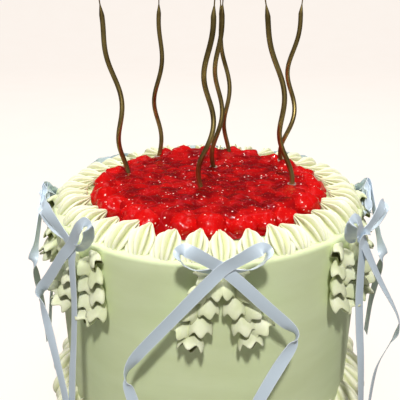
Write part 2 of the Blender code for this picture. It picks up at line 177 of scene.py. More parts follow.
def smooth(obj, angle=60):
    """Shades a piece smooth, but for edges sharper than an angle."""
    pick(obj)
    bpy.ops.object.shade_smooth_by_angle(angle=math.radians(angle))
    return obj


def dress(obj, material, slot, *nodes):
    """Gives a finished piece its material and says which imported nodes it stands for."""
    obj.data.materials.clear()
    obj.data.materials.append(material)
    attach(obj, "root")
    if nodes:
        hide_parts(*nodes)
    count = sum(len(face.vertices) - 2 for face in obj.data.polygons)
    print(f"{obj.name}: {count} triangles, stands for {len(nodes)} node(s)")
    return obj


# %% [markdown]
# Materials come before the pieces that wear them. A material is a small graph of nodes. It is quickest to
# build one with a helper that adds a node, sets its values and hands it back, and one that wires two
# sockets. The other helpers make what comes back in every material: mixed tones, a mapped range, a texture
# and a relief.

# %% Helpers for node graphs
def add_node(tree, kind, values=None, **settings):
    """Adds a node, sets its properties, then its input sockets by name or number."""
    node = tree.nodes.new(kind)
    for name, value in settings.items():
        setattr(node, name, value)
    for socket, value in (values or {}).items():
        node.inputs[socket].default_value = value
    return node


def wire(tree, source, target):
    """Links an output socket to an input socket."""
    tree.links.new(source, target)


def linear(red, green, blue):
    """Turns a colour as a picture shows it (0 to 255) into the linear numbers that a shader needs."""
    def one(value):
        value /= 255
        return value / 12.92 if value <= 0.04045 else ((value + 0.055) / 1.055) ** 2.4
    return one(red), one(green), one(blue), 1.0


def new_material(name):
    """A material with its tree, its Principled shader and Object coordinates."""
    material = bpy.data.materials.new(name)
    material.use_nodes = True
    tree = material.node_tree
    shader = tree.nodes["Principled BSDF"]
    coordinates = add_node(tree, "ShaderNodeTexCoord")
    return material, tree, shader, coordinates


def placed(tree, kind, place, values=None, **settings):
    """A node that is read at a place, such as a texture."""
    node = add_node(tree, kind, values, **settings)
    wire(tree, place, node.inputs["Vector"])
    return node


def ranged(tree, source, low, high, start=0.0, end=1.0, **settings):
    """Maps a socket's values from low..high to start..end."""
    node = add_node(tree, "ShaderNodeMapRange",
                    {"From Min": low, "From Max": high, "To Min": start, "To Max": end}, **settings)
    wire(tree, source, node.inputs["Value"])
    return node.outputs["Result"]


def mix_tones(tree, share, first, second):
    """Mixes two colours, each a socket or a constant, by a socket's share of the second."""
    node = add_node(tree, "ShaderNodeMix", data_type="RGBA")
    wire(tree, share, node.inputs[0])
    for place, tone in ((6, first), (7, second)):
        if isinstance(tone, tuple):
            node.inputs[place].default_value = tone
        else:
            wire(tree, tone, node.inputs[place])
    return node.outputs[2]


def add_relief(tree, shader, height, strength, distance):
    """Bends the shader's normal by a height."""
    relief = add_node(tree, "ShaderNodeBump", {"Strength": strength, "Distance": distance})
    wire(tree, height, relief.inputs["Height"])
    wire(tree, relief.outputs["Normal"], shader.inputs["Normal"])


def set_inputs(shader, values):
    """Sets constants on the shader's sockets."""
    for name, value in values.items():
        shader.inputs[name].default_value = value


# %% [markdown]
# Whipped cream and fruit glaze are never quite even: the surface has slow swells, and small pits or grain
# on top. Both finishes need that, so it is a shader node group, built once and set differently in each
# material. The group gives out a mask for colour and a height for the bump.

# %% The unevenness group
def make_unevenness():
    """A node group: slow swells and fine grain, as a mask and a height."""
    group = bpy.data.node_groups.new("Soft unevenness", "ShaderNodeTree")
    interface = group.interface
    interface.new_socket("Vector", in_out="INPUT", socket_type="NodeSocketVector")
    for name, default in (("Swell Scale", 30.0), ("Grain Scale", 400.0), ("Grain Share", 0.3)):
        socket = interface.new_socket(name, in_out="INPUT", socket_type="NodeSocketFloat")
        socket.default_value = default
    interface.new_socket("Mask", in_out="OUTPUT", socket_type="NodeSocketFloat")
    interface.new_socket("Height", in_out="OUTPUT", socket_type="NodeSocketFloat")
    inside = add_node(group, "NodeGroupInput")
    outside = add_node(group, "NodeGroupOutput")
    swell = add_node(group, "ShaderNodeTexNoise", {"Detail": 3.0, "Roughness": 0.5})
    grain = add_node(group, "ShaderNodeTexNoise", {"Detail": 4.0, "Roughness": 0.6})
    blend = add_node(group, "ShaderNodeMix", data_type="FLOAT")
    wire(group, inside.outputs["Vector"], swell.inputs["Vector"])
    wire(group, inside.outputs["Vector"], grain.inputs["Vector"])
    wire(group, inside.outputs["Swell Scale"], swell.inputs["Scale"])
    wire(group, inside.outputs["Grain Scale"], grain.inputs["Scale"])
    wire(group, inside.outputs["Grain Share"], blend.inputs[0])
    wire(group, swell.outputs["Fac"], blend.inputs[2])
    wire(group, grain.outputs["Fac"], blend.inputs[3])
    wire(group, swell.outputs["Fac"], outside.inputs["Mask"])
    wire(group, blend.outputs[0], outside.inputs["Height"])
    return group


UNEVENNESS = make_unevenness()
print("node group with", len(UNEVENNESS.nodes), "nodes")


# %% [markdown]
# Buttercream is a pale, matt, slightly see-through paste. One could paint it one colour, but light goes a
# short way into real cream. So the shader has a small subsurface radius, a colour that drifts between two
# near tones, a darker tone painted into the grooves and hollows of the piping as shade, and a bump: long
# level strokes where a scraper went round the side, and finer grain on what was piped.

# %% The three creams
def make_cream(name, tones, stroke, swell_scale, bump):
    """Buttercream in a light and a deep tone, and a painted shade tone. stroke draws the pattern out round
    the cake.
    """
    material, tree, shader, coordinates = new_material(name)
    light, deep, painted_shade = (linear(*tone) for tone in tones)
    stretch = placed(tree, "ShaderNodeMapping", coordinates.outputs["Object"], {"Scale": (1.0, 1.0, stroke)})
    uneven = placed(tree, "ShaderNodeGroup", stretch.outputs["Vector"],
                    {"Swell Scale": swell_scale, "Grain Scale": 600.0, "Grain Share": 0.25},
                    node_tree=UNEVENNESS)
    drift = mix_tones(tree, ranged(tree, uneven.outputs["Mask"], 0.35, 0.65), deep, light)
    # painted_shade marks grooves and petal insides, where the cream is painted darker as shade.
    cream_shade_weight = add_node(tree, "ShaderNodeAttribute", attribute_name="painted_shade")
    wire(tree, mix_tones(tree, cream_shade_weight.outputs["Fac"], drift, painted_shade), shader.inputs["Base Color"])
    add_relief(tree, shader, uneven.outputs["Height"], bump, 0.0006)
    set_inputs(shader, {"Roughness": 0.5, "Specular IOR Level": 0.3, "Subsurface Weight": 0.12,
                        "Subsurface Radius": (1.0, 0.9, 0.5), "Subsurface Scale": 0.0015})
    return material


spread_cream = make_cream("Spread buttercream", ((226, 237, 192), (219, 230, 182), (180, 190, 140)),
                          3.0, 22.0, 0.3)
piped_cream = make_cream("Piped buttercream", ((249, 248, 224), (241, 242, 210), (202, 207, 156)),
                         1.0, 70.0, 0.3)
# The braided cream is the piped cream painted a little darker as shade on the side; its third tone is the
# much darker painted shade inside the petals.
braid_cream = make_cream("Braided buttercream", ((235, 238, 207), (216, 222, 181), (140, 145, 92)),
                         1.0, 110.0, 0.45)



# %% [markdown]
# Glazed strawberries are wet and red. Their look comes from four things: a red that is brighter where light
# comes through the rim pieces and a deep crimson in the middle of the heap, small pale seeds, a wet coat
# whose small sparks are partly real gloss and partly painted glints, and thin pinkish lines that are painted
# highlights on the ridges of the glaze. Between the pieces and at the rim the red is also painted darker as
# shade.

# %% The strawberry finish
def make_berry():
    """Glazed strawberry: deep in the middle, bright at the rim, with seeds, painted glints, painted ridge
    highlights and painted shade.
    """
    material, tree, shader, coordinates = new_material("Glazed strawberry")
    place = coordinates.outputs["Object"]
    uneven = placed(tree, "ShaderNodeGroup", place,
                    {"Swell Scale": 90.0, "Grain Scale": 380.0, "Grain Share": 0.5}, node_tree=UNEVENNESS)
    flat = placed(tree, "ShaderNodeMapping", place, {"Scale": (1.0, 1.0, 0.0)})
    reach = placed(tree, "ShaderNodeVectorMath", flat.outputs["Vector"], operation="LENGTH")
    ragged = add_node(tree, "ShaderNodeMath", {1: 0.016}, operation="MULTIPLY_ADD")
    wire(tree, uneven.outputs["Mask"], ragged.inputs[0])
    wire(tree, reach.outputs["Value"], ragged.inputs[2])
    rim = ranged(tree, ragged.outputs["Value"], 0.063, 0.078, interpolation_type="SMOOTHSTEP")
    patches = ranged(tree, uneven.outputs["Mask"], 0.4, 0.62, interpolation_type="SMOOTHSTEP")
    pool = mix_tones(tree, patches, linear(122, 0, 6), linear(180, 8, 10))
    reds = mix_tones(tree, rim, pool, linear(199, 9, 8))
    # Where painted_shade is set, in the valleys between pieces and at the rim, the red is painted darker as
    # shade.
    berry_shade_weight = add_node(tree, "ShaderNodeAttribute", attribute_name="painted_shade")
    shaded_reds = mix_tones(tree, berry_shade_weight.outputs["Fac"], reds, linear(104, 0, 5))
    seeds = placed(tree, "ShaderNodeTexVoronoi", place, {"Scale": 420.0, "Randomness": 0.7})
    seed_mask = ranged(tree, seeds.outputs["Distance"], 0.12, 0.2, 0.38, 0.0)
    seeded = mix_tones(tree, seed_mask, shaded_reds, linear(250, 96, 74))
    # Thin pinkish lines along the cell edges are painted highlights, for light caught on ridges of glaze.
    ridge_cells = placed(tree, "ShaderNodeTexVoronoi", place, {"Scale": 60.0, "Randomness": 1.0},
                  feature="DISTANCE_TO_EDGE")
    ridge_highlight_mask = ranged(tree, ridge_cells.outputs["Distance"], 0.0, 0.03, 0.22, 0.0)
    glazed = mix_tones(tree, ridge_highlight_mask, seeded, linear(214, 60, 74))
    # Clusters of near-white specks are painted glints on the wet glaze, beside the real gloss of the coat.
    sparks = placed(tree, "ShaderNodeTexVoronoi", place, {"Scale": 420.0, "Randomness": 1.0})
    clusters = placed(tree, "ShaderNodeTexNoise", place, {"Scale": 170.0, "Detail": 2.0})
    painted_glint_mask = add_node(tree, "ShaderNodeMath", operation="MULTIPLY")
    wire(tree, ranged(tree, sparks.outputs["Distance"], 0.14, 0.24, 1.0, 0.0), painted_glint_mask.inputs[0])
    wire(tree, ranged(tree, clusters.outputs["Fac"], 0.57, 0.6), painted_glint_mask.inputs[1])
    with_painted_glints = mix_tones(tree, painted_glint_mask.outputs["Value"], glazed, linear(255, 236, 226))
    wire(tree, with_painted_glints, shader.inputs["Base Color"])
    add_relief(tree, shader, uneven.outputs["Height"], 0.7, 0.0011)
    set_inputs(shader, {"Roughness": 0.2, "Specular IOR Level": 0.16, "Coat Weight": 0.2,
                        "Coat Roughness": 0.06})
    return material


berry_red = make_berry()

# %% [markdown]
# The ribbon is thin bluish-white satin. Satin shows one long soft highlight across the threads, and a woven
# edge that is a little paler. The ribbon's own UV map runs along and across it, so fine threads and the two
# edges can be drawn in it whatever way the ribbon bends.


# %% The satin ribbon finish
def make_satin():
    """Bluish-white satin with fine lengthwise threads and paler woven edges."""
    material, tree, shader, coordinates = new_material("Satin ribbon")
    split = placed(tree, "ShaderNodeSeparateXYZ", coordinates.outputs["UV"])
    middle = add_node(tree, "ShaderNodeMath", {1: 0.5}, operation="SUBTRACT")
    wire(tree, split.outputs["Y"], middle.inputs[0])
    away = add_node(tree, "ShaderNodeMath", operation="ABSOLUTE")
    wire(tree, middle.outputs["Value"], away.inputs[0])
    edge = ranged(tree, away.outputs["Value"], 0.43, 0.47)
    cloth = mix_tones(tree, edge, linear(208, 223, 236), linear(226, 236, 246))
    wire(tree, cloth, shader.inputs["Base Color"])
    thread_place = placed(tree, "ShaderNodeMapping", coordinates.outputs["UV"], {"Scale": (60.0, 46.0, 1.0)})
    threads = placed(tree, "ShaderNodeTexNoise", thread_place.outputs["Vector"],
                     {"Scale": 1.0, "Detail": 2.0})
    both = add_node(tree, "ShaderNodeMath", {1: 0.5}, operation="MULTIPLY_ADD")
    wire(tree, edge, both.inputs[0])
    wire(tree, threads.outputs["Fac"], both.inputs[2])
    add_relief(tree, shader, both.outputs["Value"], 0.25, 0.0002)
    set_inputs(shader, {"Roughness": 0.3, "Anisotropic": 0.5, "Sheen Weight": 0.15,
                        "Sheen Roughness": 0.4, "Specular IOR Level": 0.6})
    return material


satin = make_satin()


# %% [markdown]
# The candles are thin dipped wax with a dull gold metal powder on them, a little browner here and there.
# The cups they stand in are clear plastic.

# %% The candle and cup finishes
def make_gold():
    """Dull gold wax: metallic, with browner patches and a faint grain."""
    material, tree, shader, coordinates = new_material("Gold candle wax")
    uneven = placed(tree, "ShaderNodeGroup", coordinates.outputs["Object"],
                    {"Swell Scale": 70.0, "Grain Scale": 900.0, "Grain Share": 0.4}, node_tree=UNEVENNESS)
    level = ranged(tree, uneven.outputs["Mask"], 0.35, 0.7)
    tones = mix_tones(tree, level, linear(126, 108, 62), linear(176, 156, 96))
    wire(tree, tones, shader.inputs["Base Color"])
    add_relief(tree, shader, uneven.outputs["Height"], 0.2, 0.0003)
    set_inputs(shader, {"Metallic": 0.85, "Roughness": 0.32})
    return material


def make_clear():
    """Clear plastic with a faint warm tint and a finely scratched gloss."""
    material, tree, shader, coordinates = new_material("Clear cup plastic")
    scratches = placed(tree, "ShaderNodeTexNoise", coordinates.outputs["Object"],
                       {"Scale": 700.0, "Detail": 3.0})
    gloss = ranged(tree, scratches.outputs["Fac"], 0.0, 1.0, 0.08, 0.25)
    wire(tree, gloss, shader.inputs["Roughness"])
    set_inputs(shader, {"Base Color": linear(248, 238, 222), "Transmission Weight": 0.55, "IOR": 1.45})
    return material


gold_wax = make_gold()
clear_plastic = make_clear()
finishes = (spread_cream, piped_cream, braid_cream, berry_red, satin, gold_wax, clear_plastic)
print("materials:", ", ".join(material.name for material in finishes))

# %% [markdown]
# The body is a drum of sponge under a layer of buttercream, scraped nearly smooth. A plain cylinder would
# look machined. So the cylinder gets a soft rim with the bevel operator, then level cuts with bisect, which
# give its side enough points to be pushed in and out by a fraction of a millimetre, as a hand-held scraper
# leaves it.

# %% The frosted body
RIM_ROUND = 2.5 * MM
SIDE_LEVELS = 14
start_clean()
bpy.ops.mesh.primitive_cylinder_add(vertices=180, radius=BODY_RADIUS - 0.3 * MM, depth=BODY_HEIGHT,
                                    location=(0, 0, BODY_HEIGHT / 2))
body = place_in_mesh(bpy.context.object)
body.name = "frosted_body"
select_edges(body, lambda spot: spot.z > BODY_HEIGHT - 1 * MM)
bpy.ops.mesh.bevel(offset=RIM_ROUND, segments=4, affect="EDGES")
for level in range(1, SIDE_LEVELS):
    bpy.ops.mesh.select_all(action="SELECT")
    bpy.ops.mesh.bisect(plane_co=(0, 0, BODY_HEIGHT * level / SIDE_LEVELS), plane_no=(0, 0, 1))
bpy.ops.object.mode_set(mode="OBJECT")
for vert in body.data.vertices:
    outside = Vector((vert.co.x, vert.co.y, 0))
    if outside.length > BODY_RADIUS - 5 * MM and vert.co.z > 1 * MM:
        swell = noise.noise(Vector((vert.co.x * 18, vert.co.y * 18, vert.co.z * 45)))
        vert.co += outside.normalized() * swell * 0.45 * MM
        if vert.co.z > BODY_HEIGHT - 4 * MM:
            vert.co.z += noise.noise(vert.co * 60) * 0.5 * MM
smooth(body, 50)
dress(body, spread_cream, "buttercream", "cake_body")

# %% [markdown]
# A piped shell comes from a star nozzle: the baker squeezes a fat ribbed head, then eases off and pulls
# away to a thin tail. One could sculpt that, but the nozzle itself shows the way: draw its star outline
# once, and extrude it along, making it wider, then smaller. The outline starts as a circle whose every
# fourth point is a rib, and an attribute named painted_shade marks the points between them, so that the
# cream is painted darker there as shade. A shell on the rim bows its head over the edge of the cake, so
# that its ribs end there as round teeth.


# %% One shell from a star nozzle
def star_shell(name, ribs, stations, depth, sides_per_rib=4):
    """A ribbed form along +X. stations are (x, radius, height of the middle), from the head to the tail."""
    start_clean()
    x, radius, lift = stations[0]
    bpy.ops.mesh.primitive_circle_add(vertices=ribs * sides_per_rib, radius=radius, fill_type="NGON",
                                      rotation=(0, math.radians(90), 0), location=(x, 0, lift))
    shell = place_in_mesh(bpy.context.object)
    shell.name = name
    # The grooves between the ribs get a painted_shade weight: the cream is painted darker there as shade.
    painted_shade = shell.data.attributes.new("painted_shade", "FLOAT", "POINT")
    for vert in shell.data.vertices:
        around = math.atan2(vert.co.z - lift, vert.co.y)
        groove = (0.5 - 0.5 * math.cos(around * ribs)) ** 3
        painted_shade.data[vert.index].value = groove
        keep = 1 - depth * groove
        vert.co.y *= keep
        vert.co.z = lift + (vert.co.z - lift) * keep
    bpy.ops.object.mode_set(mode="EDIT")
    bpy.ops.mesh.select_mode(type="FACE")
    bpy.ops.mesh.select_all(action="SELECT")
    for (x, radius, lift), (next_x, next_radius, next_lift) in zip(stations, stations[1:]):
        bpy.ops.mesh.extrude_region_move(TRANSFORM_OT_translate={"value": (next_x - x, 0, next_lift - lift)})
        bpy.ops.transform.resize(value=(1, next_radius / radius, next_radius / radius),
                                 center_override=(next_x, 0, next_lift))
    bpy.ops.object.mode_set(mode="OBJECT")
    outward(shell)
    add_modifier(shell, "SUBSURF", levels=1, render_levels=1)
    return shell


RIM_SHELL = ((0, 5.2, -6), (-1, 7.4, -5), (-3, 9.6, -3.4), (-6.5, 11, -1.4), (-10.5, 10.6, 0.8),
             (-14.5, 7.8, 2.8), (-18, 4.9, 4.2), (-20.6, 3.3, 5.2), (-22.4, 2.3, 5.8), (-23.6, 1.1, 6.4))
rim_form = star_shell("rim_shell_form", 11, [(x * MM, r * MM, z * MM) for x, r, z in RIM_SHELL], 0.5)
print("one rim shell:", len(rim_form.data.polygons), "faces")

# %% [markdown]
# Forty of these shells stand round the rim, close enough to touch. Copies placed by a loop would look
# stamped, so each gets a little more or less width, height, turn and tilt. A seeded random source gives the
# same cake every time.


# %% The border on the rim
def ring_place(azimuth, reach, height, scale, lean=0.0, skew=0.0):
    """Where a form that points along +X goes on the ring: its head at a reach from the middle."""
    return (turned(azimuth - 90, "Z") @ Matrix.Translation((reach, 0, height))
            @ turned(lean, "Y") @ turned(skew, "Z") @ Matrix.Diagonal((*scale, 1)))


def hand_shaken(obj, scale, reach):
    """Pushes a piece's skin about by a soft noise, as a hand that isn't quite steady does."""
    for vert in obj.data.vertices:
        vert.co += noise.noise_vector(vert.co * scale) * reach
    return obj


RIM_SHELLS = 40
draw = random.Random(11)
shells = []
for i in range(RIM_SHELLS):
    azimuth = 360 / RIM_SHELLS * (i + 0.5) + draw.uniform(-1, 1)
    size = draw.uniform(0.94, 1.04)
    scale = (size * draw.uniform(0.9, 1.03), draw.uniform(0.75, 0.86), size * draw.uniform(0.88, 1.06))
    place = ring_place(azimuth, BORDER_REACH - draw.uniform(-0.8, 0.6) * MM, BODY_HEIGHT, scale,
                       draw.uniform(-2, 4), draw.uniform(-8, 8))
    shells.append(copy_of(rim_form, place))
rim_border = hand_shaken(join_as("rim_border", shells), 130, 0.45 * MM)
bpy.data.objects.remove(rim_form)
smooth(rim_border, 60)
dress(rim_border, piped_cream, "piped_cream", "top_border")

# %% [markdown]
# The border round the foot is piped with a larger nozzle, standing up against the side: the heads bulge out
# over the table and the tails are drawn up the cake. The same nozzle helper makes it, with its own
# stations, and the form is then stood on its head by a turn. What would go under the table is cut off flat
# with bisect.

# %% The border round the foot
FOOT_SHELL = ((0, 3, 0), (-1, 6.5, 0.2), (-3.5, 9.6, 0.4), (-7.5, 11.4, 0.4), (-12.5, 11.6, 0),
              (-17.5, 10.2, -0.8), (-22.5, 7.6, -1.8), (-26.5, 5, -2.8), (-29.5, 2.6, -3.8),
              (-31.5, 0.9, -4.4))
foot_form = star_shell("foot_shell_form", 8, [(x * MM, r * MM, z * MM) for x, r, z in FOOT_SHELL], 0.36)
HEAD_IN = 11.5 * MM
HEAD_DOWN = 2.5 * MM
HEAD_TURN = 68
FOOT_SHELLS = 32
draw = random.Random(12)
shells = []
for i in range(FOOT_SHELLS):
    azimuth = 360 / FOOT_SHELLS * (i + 0.5) + draw.uniform(-1, 1)
    scale = (draw.uniform(0.93, 1.0), draw.uniform(0.97, 1.05), draw.uniform(0.93, 1.0))
    place = ring_place(azimuth, FOOT_REACH - HEAD_IN, -HEAD_DOWN, scale,
                       HEAD_TURN + draw.uniform(-3, 3), draw.uniform(-6, 6))
    shells.append(copy_of(foot_form, place))
foot_border = hand_shaken(join_as("foot_border", shells), 110, 0.4 * MM)
bpy.data.objects.remove(foot_form)
cut_off_below(foot_border, 0.2 * MM)
smooth(foot_border, 60)
dress(foot_border, piped_cream, "piped_cream", "base_border")

# %% [markdown]
# Under each bow hang two braided strips of cream, piped with a leaf nozzle: a chain of petals that open
# downwards, leaning left and right by turns, each one tucked under the lip of the last. A petal starts as
# an open cone. Its mouth is pulled out to four points, as the split nozzle leaves it, then it gets a wall
# and is smoothed.


# %% One petal of the braid
def leaf_cup():
    """A small cup of cream along +X, with four points round its mouth at +X."""
    start_clean()
    bpy.ops.mesh.primitive_cone_add(vertices=16, radius1=1.2 * MM, radius2=5.6 * MM, depth=12.0 * MM,
                                    end_fill_type="NOTHING", rotation=(0, math.radians(90), 0))
    cup = place_in_mesh(bpy.context.object)
    cup.name = "leaf_cup_form"
    bpy.ops.object.mode_set(mode="EDIT")
    for x in (-4.0, -1.0, 2.0, 4.4):
        bpy.ops.mesh.select_all(action="SELECT")
        bpy.ops.mesh.bisect(plane_co=(x * MM, 0, 0), plane_no=(1, 0, 0))
    bpy.ops.object.mode_set(mode="OBJECT")
    for vert in cup.data.vertices:
        along = (vert.co.x / MM + 6) / 12
        around = math.atan2(vert.co.z, vert.co.y)
        points = math.cos(around * 4)
        belly = 1 + 0.45 * math.sin(math.pi * along) - 0.05 * along ** 3
        ridge = 1 + 0.14 * along * points
        vert.co.y *= belly * ridge * 1.08
        vert.co.z *= belly * ridge * 0.8
        vert.co.x += 2.2 * MM * along ** 3 * points
        vert.co.z += (2.2 * along ** 2 - 1.6 * (1 - along)) * MM
    pick(cup)
    bpy.ops.object.mode_set(mode="EDIT")
    bpy.ops.mesh.select_all(action="DESELECT")
    bpy.ops.object.mode_set(mode="OBJECT")
    for vert in cup.data.vertices:
        vert.select = vert.co.x < -5.8 * MM
    bpy.ops.object.mode_set(mode="EDIT")
    bpy.ops.mesh.select_mode(type="VERT")
    bpy.ops.mesh.edge_face_add()
    bpy.ops.mesh.select_all(action="SELECT")
    bpy.ops.mesh.normals_make_consistent(inside=False)
    bpy.ops.object.mode_set(mode="OBJECT")
    outside_points = len(cup.data.vertices)
    add_modifier(cup, "SOLIDIFY", thickness=1.3 * MM, offset=-1.0)
    # The inner wall gets a painted_shade weight of one: the inside of each petal is painted dark as shade.
    painted_shade = cup.data.attributes.new("painted_shade", "FLOAT", "POINT")
    for vert in cup.data.vertices:
        painted_shade.data[vert.index].value = 1.0 if vert.index >= outside_points else 0.0
    add_modifier(cup, "SUBSURF", levels=1, render_levels=1)
    return cup


cup_form = leaf_cup()
print("one petal:", len(cup_form.data.polygons), "faces")

# %% [markdown]
# The strip is laid by walking down a line on the cake's side and setting a cup at each step, by turns to
# the left and to the right. A frame of three directions at each step (down the strip, across it and out
# from the side) turns the cup to lie on the curved side.

# %% The braided garlands
BOW_AZIMUTHS = (3.5, 47.0, 97.0, 141.0, 183.0, 225.0, 267.0, 321.0)
STRIP_STEPS = 7
# How far along the side each strip's head and foot are from the knot, and the bows whose strips hang askew.
STRIP_REACH = ((-4.8, -16.5), (4.8, 16.8))
STRIP_REACHES = {2: ((-5.8, -3.0), (11.0, 22.0)), 8: ((-12.0, -24.0), (5.0, 5.0))}


def side_turn(azimuth, u, heading):
    """A turn on the side: X along a heading in degrees (0 is right, -90 is down), Z out from the side."""
    right, out = side_ways(azimuth, u)
    turn = math.radians(heading)
    x = right * math.cos(turn) + Vector((0, 0, math.sin(turn)))
    return Matrix((x, out.cross(x), out)).transposed().to_4x4()


def garland_strip(azimuth, side, reach, draw):
    """One braided strip: a petal that peeks out behind the bow, then the petals down the strip."""
    head, foot = Vector((reach[0], -9.0)), Vector((reach[1], -38.0))
    along = (foot - head).normalized()
    across = Vector((-along.y, along.x))
    heading = math.degrees(math.atan2(along.y, along.x))
    spots = [(head + Vector((side * 1.5, 4.5)), 3.0, -90 + side * 62, 0.8, 0)]
    for i in range(STRIP_STEPS):
        t = i / (STRIP_STEPS - 1)
        turn = (1 if i % 2 else -1) * side
        spots.append((head.lerp(foot, t) + across * turn * (2.4 + 0.9 * t), 3.6 + 0.8 * t,
                      heading + turn * 30 * (1 - 0.6 * t), 0.82 + 0.22 * t, -6 - 38 * max(0, 2 * t - 1) ** 2))
    cups = []
    for spot, out, lean, size, lift in spots:
        laid = side_turn(azimuth, spot.x, lean + draw.uniform(-5, 5))
        size *= draw.uniform(0.95, 1.05)
        place = (Matrix.Translation(side_point(azimuth, spot.x, spot.y, out)) @ laid
                 @ turned(lift + draw.uniform(-4, 4), "Y") @ turned(draw.uniform(-16, 16), "X")
                 @ Matrix.Diagonal((size, size, size, 1)))
        cups.append(copy_of(cup_form, place))
    return cups


draw = random.Random(21)
for bow, azimuth in enumerate(BOW_AZIMUTHS):
    reaches = STRIP_REACHES.get(bow + 1, STRIP_REACH)
    for word, side, reach in zip(("left", "right"), (-1, 1), reaches):
        strip = join_as(f"braid_{bow + 1}_{word}", garland_strip(azimuth, side, reach, draw))
        hand_shaken(strip, 160, 0.35 * MM)
        smooth(strip, 70)
        dress(strip, braid_cream, "piped_cream", f"garland_{bow + 1}_{word}")
bpy.data.objects.remove(cup_form)

# %% [markdown]
# The strawberries are small halves laid cut side down and flooded with glaze. Only two rings of them near
# the rim still show whole, and the outer ones hang over the border. One half starts as a sphere: its lower
# part is cut off with bisect, its tip is drawn out a little, and its skin is pushed about by a low noise so
# that no two outlines match.


# %% One strawberry half
def berry_half(name, seed):
    """A strawberry half of radius 1 mm lying flat, with its tip along +X."""
    start_clean()
    bpy.ops.mesh.primitive_uv_sphere_add(segments=28, ring_count=18, radius=1 * MM)
    half = place_in_mesh(bpy.context.object)
    half.name = name
    cut_off_below(half, -0.55 * MM)
    shift = Vector((seed * 7.3, seed * 3.1, 0))
    for vert in half.data.vertices:
        spot = vert.co / MM
        point = 1 - 0.12 * max(0, spot.x)
        bulge = 1 + 0.22 * noise.noise(spot * 1.5 + shift) + 0.07 * noise.noise(spot * 4 + shift)
        vert.co = Vector((spot.x * 1.04, spot.y * point, spot.z * point)) * bulge * MM
    return half


berry_forms = [berry_half(f"berry_form_{seed}", seed) for seed in range(5)]
print("berry forms:", len(berry_forms), "with", len(berry_forms[0].data.polygons), "faces each")

# %% [markdown]
# In the middle the fruit lies under glaze, so one skin is right there, not hundreds of balls. A disc is
# made fine by many insets, and each of its points is lifted by the nearest of some two hundred piece
# centres: a low dome over each piece, a valley where two meet. Soft noise makes it uneven, and near the rim
# it curves down between the halves.

# %% The heap of strawberries
GLAZE_LEVEL = BODY_HEIGHT + 9.2 * MM
# Each ring of halves: how many, how far out, how large, how high over the cream and how tall for its width.
HALF_RINGS = ((26, 67.2, 9.4, 4.4, 0.8), (20, 59.5, 9.6, 4.6, 0.58))
# The pieces under the glaze: how many, within what reach, how far apart, how wide and how high their domes.
PIECES, PIECE_REACH, PIECE_GAP, DOME_REACH, DOME_HEIGHT = 190, 66, 6.4, 6.5, 1.9
SLOPE_START, SLOPE = 59, 0.033
INSETS, INSET_STEP = 55, 1.33 * MM


def back_rise(y):
    """How much higher the fruit is heaped along its back edge, in mm, for a place y mm behind the middle."""
    t = min(1.0, max(0.0, (y - 47) / 16))
    return 2.6 * t * t * (3 - 2 * t)


draw = random.Random(5)
halves = []
for ring, (count, reach, size, level, tall) in enumerate(HALF_RINGS):
    for i in range(count):
        angle = math.radians(360 / count * (i + 0.3 * ring) + draw.uniform(-4, 4))
        away = (reach + draw.uniform(-1.2, 0.8)) * MM
        grown = size * draw.uniform(0.9, 1.08)
        height = BODY_HEIGHT + (level + draw.uniform(-0.5, 0.5)) * MM
        spot = Vector((away * math.sin(angle), -away * math.cos(angle), height))
        spot.z += back_rise(spot.y / MM) * MM
        tilt = turned(draw.uniform(-9, 9), "X") @ turned(draw.uniform(-9, 9), "Y")
        turn = Matrix.Rotation(draw.uniform(0, 2 * math.pi), 4, "Z")
        matrix = Matrix.Translation(spot) @ tilt @ turn @ Matrix.Diagonal((grown, grown, grown * tall, 1))
        halves.append(copy_of(berry_forms[draw.randrange(len(berry_forms))], matrix))
centres = []
while len(centres) < PIECES:
    spot = Vector((draw.uniform(-PIECE_REACH, PIECE_REACH), draw.uniform(-PIECE_REACH, PIECE_REACH)))
    if spot.length < PIECE_REACH and all((spot - other).length > PIECE_GAP for other in centres):
        centres.append(spot)
start_clean()
bpy.ops.mesh.primitive_circle_add(vertices=168, radius=75 * MM, fill_type="NGON",
                                  location=(0, 0, GLAZE_LEVEL))
glaze = place_in_mesh(bpy.context.object)
bpy.ops.object.mode_set(mode="EDIT")
bpy.ops.mesh.select_mode(type="FACE")
bpy.ops.mesh.select_all(action="SELECT")
for ring in range(INSETS):
    bpy.ops.mesh.inset(thickness=INSET_STEP)
bpy.ops.object.mode_set(mode="OBJECT")
# The valleys between pieces and the outer edge get a painted_shade weight: the red is painted darker there as
# shade.
painted_shade = glaze.data.attributes.new("painted_shade", "FLOAT", "POINT")
for vert in glaze.data.vertices:
    flat = Vector((vert.co.x, vert.co.y)) / MM
    near = min((flat - centre).length for centre in centres)
    dome = DOME_HEIGHT * max(0.0, 1 - (near / DOME_REACH) ** 2)
    away = flat.length
    drop = max(0.0, away - SLOPE_START) ** 2 * SLOPE
    valley = 0.5 * min(1.0, (near / DOME_REACH) ** 3)
    painted_shade.data[vert.index].value = max(valley, min(0.6, max(0.0, (away - 62) / 6)))
    ripple = 0.9 * noise.noise(vert.co * 45) + 0.35 * noise.noise(vert.co * 260)
    vert.co.z += (dome - drop + back_rise(flat.y) + ripple) * MM
topping = join_as("strawberry_heap", halves + [glaze])
for form in berry_forms:
    bpy.data.objects.remove(form)
smooth(topping, 60)
dress(topping, berry_red, "strawberry_glaze", "strawberry_topping")

# %% [markdown]
# The candles are long, thin and wavy: a dipped taper bent by hand while warm. The way to draw one is its
# middle line, a coil that swells and dies out, with a tube along it. A Blender curve makes that tube. Its
# points carry a radius each, so the candle narrows to its wick.

